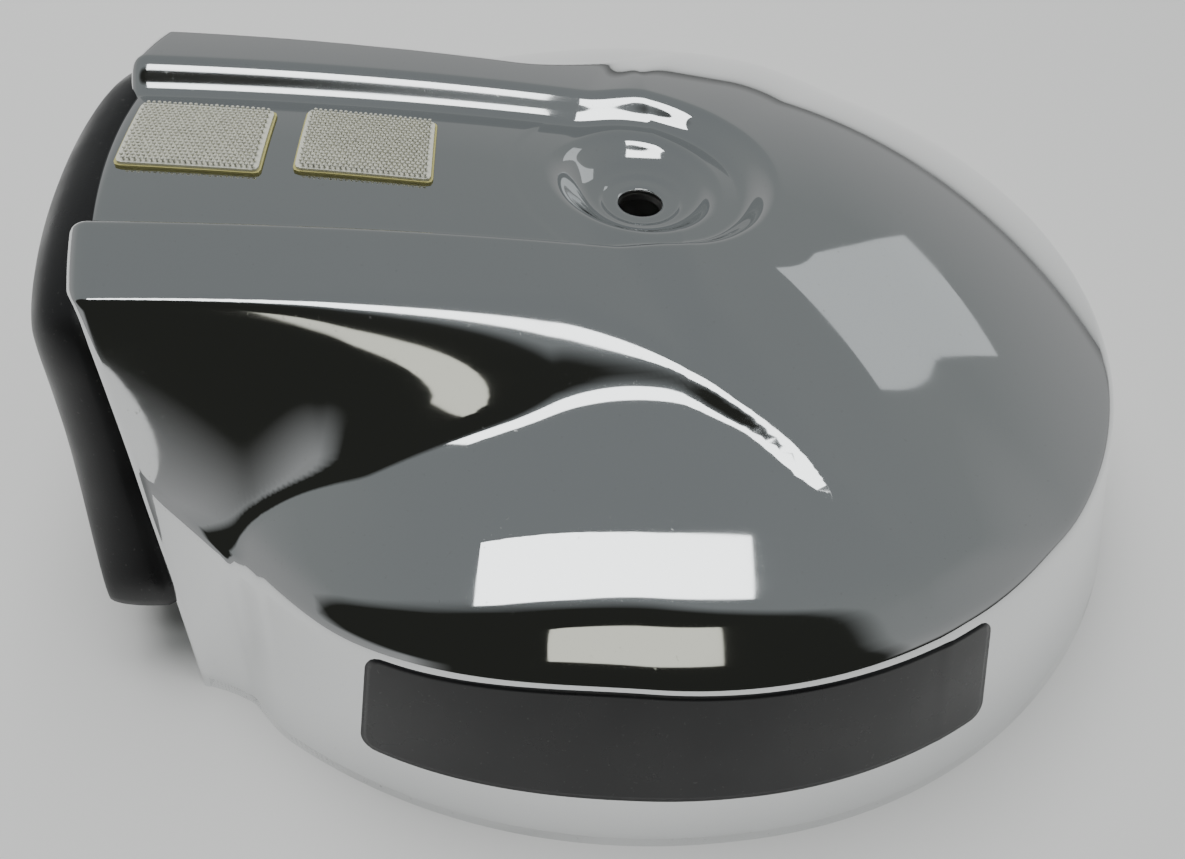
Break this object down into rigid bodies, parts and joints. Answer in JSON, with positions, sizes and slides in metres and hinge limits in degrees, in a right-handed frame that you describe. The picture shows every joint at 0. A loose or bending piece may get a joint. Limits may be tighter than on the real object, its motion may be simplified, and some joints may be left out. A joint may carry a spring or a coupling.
{
  "type": "motorcycle air cleaner cover",
  "caption": "Round chromed pressed-steel air cleaner cover with a raised channelled bar, a deep screw well and a black moulded nose at its squared end.",
  "frame": {"origin": "centre of the overall box, on the plane of the rim it stands on", "axes": "+X runs from the squared nose end to the round end, +Z out of the domed face, Y across; the cover is the same on both sides of the XZ plane"},
  "size_m": [0.205, 0.198, 0.0664],
  "materials": {
    "chrome_plate": "mirror-bright chrome plate",
    "black_moulding": "satin black moulding",
    "black_rubber": "matt rubber",
    "plain_steel": "dull plated steel",
    "zinc_steel": "zinc plate",
    "pad_adhesive": "yellowed foam adhesive",
    "pad_plastic": "clear grey plastic",
    "label_black": "satin printed film"
  },
  "bodies": {
    "root": {"cover_shell": "chrome_plate", "intake_nose": "black_moulding", "nose_gasket": "black_rubber", "nose_bracket_near": "plain_steel", "nose_bracket_far": "plain_steel", "nose_screws": "zinc_steel", "nose_clip_nuts": "zinc_steel", "well_doubler": "plain_steel", "rim_seal": "black_rubber", "caution_decal": "label_black", "locating_tab_1": "plain_steel", "tab_cap_1": "black_rubber", "locating_tab_2": "plain_steel", "tab_cap_2": "black_rubber", "locating_tab_3": "plain_steel", "tab_cap_3": "black_rubber", "pad_adhesive_front": "pad_adhesive", "pad_base_front": "pad_plastic", "pad_stems_front": "pad_plastic", "pad_adhesive_rear": "pad_adhesive", "pad_base_rear": "pad_plastic", "pad_stems_rear": "pad_plastic"}
  },
  "joints": []
}
